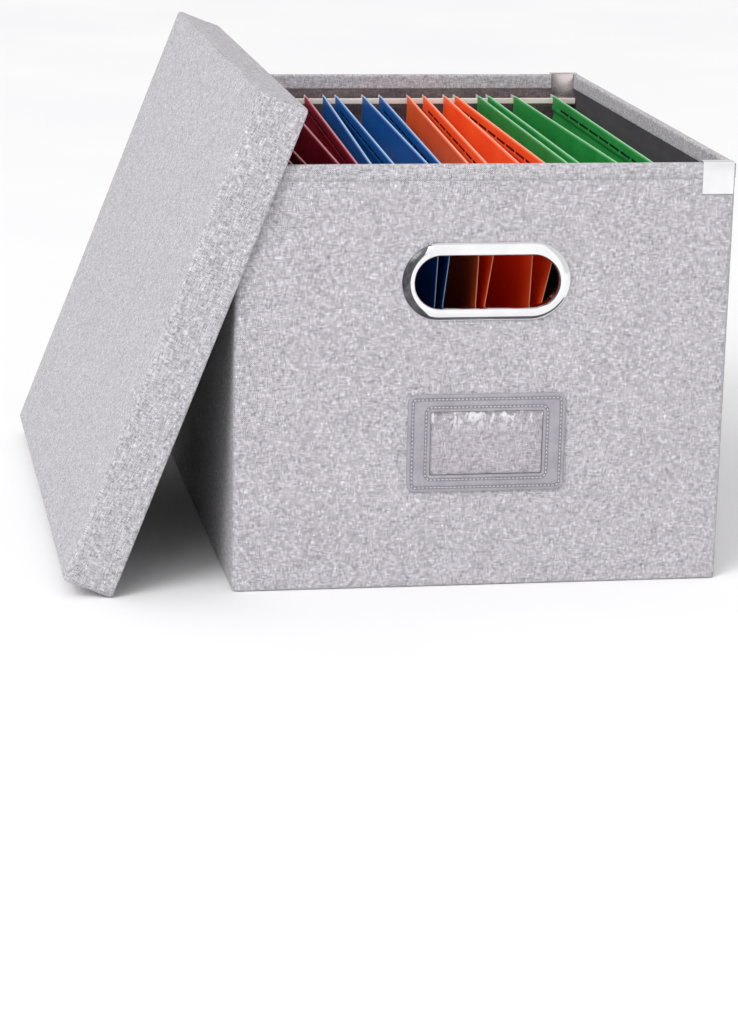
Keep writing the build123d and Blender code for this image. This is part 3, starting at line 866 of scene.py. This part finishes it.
def stitches(name, seams, out, body):
    """A row of stitches along each closed seam, as one plain mesh."""
    curve = bpy.data.curves.new(name, "CURVE")
    curve.dimensions = "3D"
    for loop in seams:
        spline = curve.splines.new("POLY")
        spline.points.add(len(loop) - 1)
        for point, co in zip(spline.points, loop):
            point.co = (*co, 1)
        spline.use_cyclic_u = True
    guide = bpy.data.objects.new(name + "_guide", curve)
    bpy.context.scene.collection.objects.link(guide)
    rule = guide.modifiers.new("Stitches", "NODES")
    tree = stitch_tree()
    rule.node_group = tree
    sizes = {"Pitch": stitch_pitch, "Length": stitch_long, "Thread": thread_r, "Out": out}
    for item in tree.interface.items_tree:
        if item.in_out == "INPUT" and item.name in sizes:
            rule[item.identifier] = sizes[item.name]
    ready = guide.evaluated_get(bpy.context.evaluated_depsgraph_get())
    mesh = bpy.data.meshes.new_from_object(ready)
    bpy.data.objects.remove(guide)
    piece(name, mesh, thread, body)


# The folders: each a folded card whose top edges turn in around a rod, with a slotted flap inside

def folder_ends(node):
    """A folder's left and right top edge and its foot, in x, at its front and at its back end."""
    low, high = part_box(node)
    near = 0.2 * MM
    ends = []
    for y in (low.y, high.y):
        here = [v.co for v in frame["nodes"][node].data.vertices if abs(v.co.y - y) < near]
        top = [p.x for p in here if p.z > high.z - near]
        foot = [p.x for p in here if p.z < low.z + near]
        ends.append(Vector((min(top), max(top), (min(foot) + max(foot)) / 2)))
    return low, high, ends


def slot_edges(low_y, high_y):
    """Depths along a sheet, each with whether a slot runs from it to the next."""
    count = int((high_y - low_y - 2 * slot_end) / slot_pitch)
    first = (low_y + high_y - count * slot_pitch) / 2
    marks = [(low_y, False), (low_y + end_edge, False), (low_y + slot_end / 2, False)]
    for i in range(count):
        at = first + i * slot_pitch + (slot_pitch - slot_long) / 2
        marks += [(at, True), (at + slot_long / 2, True), (at + slot_long, False)]
    return marks + [(high_y - slot_end / 2, False), (high_y - end_edge, False), (high_y, False)]


def folder_sheet(name, node, colour):
    """One folder's card, from the flap inside its left side, down to its foot and up to its right flap. Each side
    stands where the model has it."""
    low, high, (front, back) = folder_ends(node)
    half_card = card_thick / 2
    turned = (("tuck", card_tuck), ("flap", card_flap), ("fold", card_fold))
    side = [(d * MM, off * MM, kind) for kind, points in turned for d, off in points]
    side += [(d * MM, 0.0, "wall") for d in card_wall]

    def spread_at(d):
        """How far out a side is at that depth: all of it down to the hem's foot, and none past the neck."""
        share = (d - folder_hem) / (folder_flare - folder_hem)
        return (1 - sqrt(share ** 2 + neck_ease) + sqrt((share - 1) ** 2 + neck_ease)) / 2

    def point(y, inward, d, off, seed):
        t = (y - low.y) / (high.y - low.y)
        left, right, foot = front.lerp(back, t)
        edge = left + half_card if inward > 0 else right - half_card
        base = foot - inward * (folder_gap / 2 + half_card)
        x = base + (edge - base) * spread_at(d) + inward * off
        calm = min(1.0, d / calm_band) * min(1.0, max(0.0, (high.z - low.z - d) / calm_band))
        x += card_wave * calm * noise.noise(Vector((y * wave_along, d * wave_down, seed)))
        return Vector((x, y, high.z - half_card - d))

    marks = slot_edges(low.y, high.y)
    seed = sum(ord(c) for c in name) * seed_pitch
    left_rows = [(1, d, off, kind) for d, off, kind in side]
    right_rows = [(-1, d, off, kind) for d, off, kind in reversed(side)]
    deep = high.z - low.z - card_thick
    bottom = [(1, deep - foot_rise, 0.0, "foot"), (1, deep - foot_low, foot_bow, "foot"),
              (-1, deep - foot_low, foot_bow, "foot"), (-1, deep - foot_rise, 0.0, "foot")]
    rows = left_rows + bottom + right_rows
    points = [point(y, inward, d, off, seed + inward) for inward, d, off, kind in rows for y, _ in marks]
    n = len(marks)
    faces = []
    for i in range(len(rows) - 1):
        depths = sorted((rows[i][1], rows[i + 1][1]))
        in_slot = rows[i][3] == rows[i + 1][3] == "flap" and depths[0] < slot_top and depths[1] > slot_low
        for j in range(n - 1):
            if in_slot and marks[j][1]:
                continue
            faces.append((i * n + j, (i + 1) * n + j, (i + 1) * n + j + 1, i * n + j + 1))
    mesh = bpy.data.meshes.new(name)
    mesh.from_pydata(points, [], faces)
    # Painted highlight along the top of each fold, partly rubbing; the cut ends are rubbed paler
    folded = [0.0 if kind != "fold" or d > 0.3 * MM else 1.0 if d < 0.1 * MM else fold_highlight
              for _, d, _, kind in rows]
    cut = [end_worn if y in (low.y, high.y) else 0.0 for y, _ in marks]
    wear_and_highlight = mesh.attributes.new("wear_and_highlight", "FLOAT", "POINT")
    wear_and_highlight.data.foreach_set("value", [max(across, along) for across in folded for along in cut])
    # Painted shade on the card turned in behind the slots
    by_row(mesh, "tuck_painted_shade", [1.0 if kind == "tuck" else 0.0 for _, _, _, kind in rows])
    mesh.update()
    body = node.rsplit("_", 1)[0]
    sheet = piece(name, mesh, card[colour], body, (node,), 50)
    thicken(sheet, card_thick, 0.0)


def folders():
    bodies = [name for name in frame["bodies"] if "_folder_" in name]
    for body in bodies:
        colour = body.split("_")[0]
        folder_sheet(body + "_card", body + "_sheet", colour)
        rounded_copy(body + "_rods", body + "_hooks", ivory, body, rod_round)


# The lid: its cloth, and its lining

def lid_skin():
    """The lid's cloth, from the hem inside its skirt, round the open edge and up over its panel."""
    inner = [(skirt_t - hem_tuck, -lid_hem + hem_tuck), (skirt_t, -lid_hem - hem_tuck)]
    inner += [(skirt_t, z) for z in steps(-lid_hem - MM, -skirt_h + rim_r, hem_step)]
    edge = arc(skirt_t - rim_r, -skirt_h + rim_r, rim_r, 360, 270) + arc(rim_r, -skirt_h + rim_r, rim_r, 270, 180)
    band = [(0.0, z) for z in steps(-skirt_h + rim_r, -lid_hem - hem_groove_h, hem_step)]
    groove = [(hem_groove, -lid_hem - groove_foot), (hem_groove, -lid_hem + groove_foot)]
    groove += [(wall_sink, -lid_hem + hem_groove_h)]
    wall = [(wall_sink, z) for z in steps(-lid_hem + 2 * hem_groove_h, -under_r, wall_step)]
    brow = arc(wall_sink + under_r, -under_r, under_r, 180, 90)
    panel = [(i, 0.0) for i in steps(wall_sink + under_r, lid_half_w - MM, flat_step)]
    profile = inner + edge[1:] + band[1:] + groove + wall + brow[1:] + panel[1:]
    rows = inset_rows(lid_half_w, lid_half_d, side_round, profile)
    mesh = loft("lid_cloth", rows, cloth_counts, lid_place, last_shut=True)
    ripple(mesh, *lid_ripple, seed=2.0)
    lay_weave(mesh, lid_place)
    skin = piece("lid_cloth", mesh, linen, "lid", ("lid_cover", "lid_hem_strips"))
    thicken(skin, cloth_thick)


def lid_lining():
    """The lid's lining, from the middle of the panel down to the hem."""
    face = lid_half_w - (lid_lining_high.x - lid_lining_low.x) / 2 + lid_lining_sink
    under = lid_high.z - lid_lining_high.z + lid_lining_sink
    panel = [(i, -under) for i in steps(lid_half_w - MM, face + lining_fillet, flat_step)]
    turn = arc(face + lining_fillet, -under - lining_fillet, lining_fillet, 90, 180, 4)
    wall = [(face, z) for z in steps(-under - lining_fillet, -lid_hem, lid_lining_step)]
    rows = inset_rows(lid_half_w, lid_half_d, face + lining_fillet, panel + turn[1:] + wall[1:])
    mesh = loft("lid_lining_cloth", rows, lid_lining_counts, lid_place, first_shut=True)
    ripple(mesh, *lid_lining_ripple, seed=7.0)
    bag = piece("lid_lining_cloth", mesh, felt, "lid", ("lid_lining",))
    thicken(bag, lid_lining_thick)


def metalwork():
    """The rails and clips. The clips at the back are duller, as in the photograph: their darker, warmer plate is
    painted shade and reflection.
    """
    for end in ("front", "back"):
        rounded_copy(end + "_rail", end + "_rail_bar", cream, "box", rail_round)
        for hand in ("left", "right"):
            clip = end + "_" + hand + "_clip"
            plate = chrome if end == "front" else shaded_plate
            rounded_copy(clip, clip + "_strip", plate, "box", clip_round)


def boards():
    """The stiffeners stay as the model has them, inside the cloth."""
    for name, node in frame["nodes"].items():
        if name.endswith("_board"):
            node.data.materials.clear()
            node.data.materials.append(greyboard)


# The studio

def aim(light, name, at, target):
    """Hangs a light in the studio and turns it to its target."""
    thing = bpy.data.objects.new(name, light)
    thing.location = at
    thing.rotation_euler = (Vector(target) - Vector(at)).to_track_quat("-Z", "Y").to_euler()
    bpy.context.scene.collection.objects.link(thing)


def reflected(name, quads, material):
    """Cards that stand in the studio for reflections alone."""
    mesh = bpy.data.meshes.new(name)
    mesh.from_pydata([p for quad in quads for p in quad], [], [range(4 * i, 4 * i + 4) for i in range(len(quads))])
    mesh.materials.append(material)
    thing = bpy.data.objects.new(name, mesh)
    bpy.context.scene.collection.objects.link(thing)
    for rays in ("camera", "diffuse", "transmission", "shadow"):
        setattr(thing, "visible_" + rays, False)


def studio_floor():
    mesh = bpy.data.meshes.new("studio_floor")
    corners = [(x * floor_half, y * floor_half, 0) for x, y in ((-1, -1), (1, -1), (1, 1), (-1, 1))]
    mesh.from_pydata(corners, [], [(0, 1, 2, 3)])
    floor = bpy.data.objects.new("studio_floor", mesh)
    mesh.materials.append(painted_floor())
    bpy.context.scene.collection.objects.link(floor)


def studio_light():
    """A pale sky all round, a soft sun and a softbox, both from the front left."""
    world = bpy.data.worlds.new("studio")
    bpy.context.scene.world = world
    world.use_nodes = True
    tree = world.node_tree
    tree.nodes.clear()
    sky = {"Color": linear("#f8f7f8"), "Strength": sky_power}
    add(tree, "ShaderNodeOutputWorld", {"Surface": add(tree, "ShaderNodeBackground", sky).outputs[0]})

    sun = bpy.data.lights.new("key", "SUN")
    sun.energy = sun_power
    sun.angle = sun_spread
    aim(sun, "key", sun_from, (0, 0, 0))
    soft = bpy.data.lights.new("softbox", "AREA")
    soft.shape = "SQUARE"
    soft.size = softbox_size
    soft.energy = softbox_power
    aim(soft, "softbox", softbox_at, softbox_target)


def grey_cards():
    """One upright at the left, one on the floor, and a strip on the floor near the wall, which draws the dark line
    under the rings."""
    left, far, near, top = -0.5, -2.4, -0.22, 3.5
    outer, strip_far, strip_right, clear = -1.4, -0.28, 0.35, 2 * MM
    quads = [((left, far, clear), (left, -0.1, clear), (left, -0.1, top), (left, far, top)),
             ((outer, far, clear), (-0.47, far, clear), (-0.035, near, clear), (outer, near, clear)),
             ((-0.05, strip_far, clear), (strip_right, strip_far, clear), (strip_right, near, clear),
              (-0.05, near, clear))]
    reflected("grey_cards", quads, grey_velvet())


def white_cards():
    """One upright behind the camera, and one on the floor before it."""
    back, right, high, clear = -2.6, 3.0, 4.5, 3 * MM
    quads = [((-0.4, back, 0.1), (right, back, 0.1), (right, back, high), (-0.4, back, high)),
             ((0.0, back, clear), (right, back, clear), (right, -0.7, clear), (0.0, -0.7, clear))]
    reflected("white_cards", quads, glowing_white_card())


def camera():
    """The photograph's own viewpoint."""
    data = bpy.data.cameras.new("camera")
    data.lens = camera_lens
    data.sensor_width = 36
    thing = bpy.data.objects.new("camera", data)
    turn = Matrix.Rotation(-camera_heading, 4, "Z") @ Matrix.Rotation(pi / 2 - camera_dip, 4, "X")
    thing.matrix_world = Matrix.Translation(camera_at) @ turn @ Matrix.Rotation(camera_roll, 4, "Z")
    bpy.context.scene.collection.objects.link(thing)
    bpy.context.scene.camera = thing


box_skin()
box_lining()
floor_panel()
handle_rings("front", front_place)
handle_rings("back", back_place)
label_holder()
folders()
lid_skin()
lid_lining()
metalwork()
boards()
studio_floor()
studio_light()
grey_cards()
white_cards()
camera()
bpy.context.scene.view_settings.view_transform = "Standard"
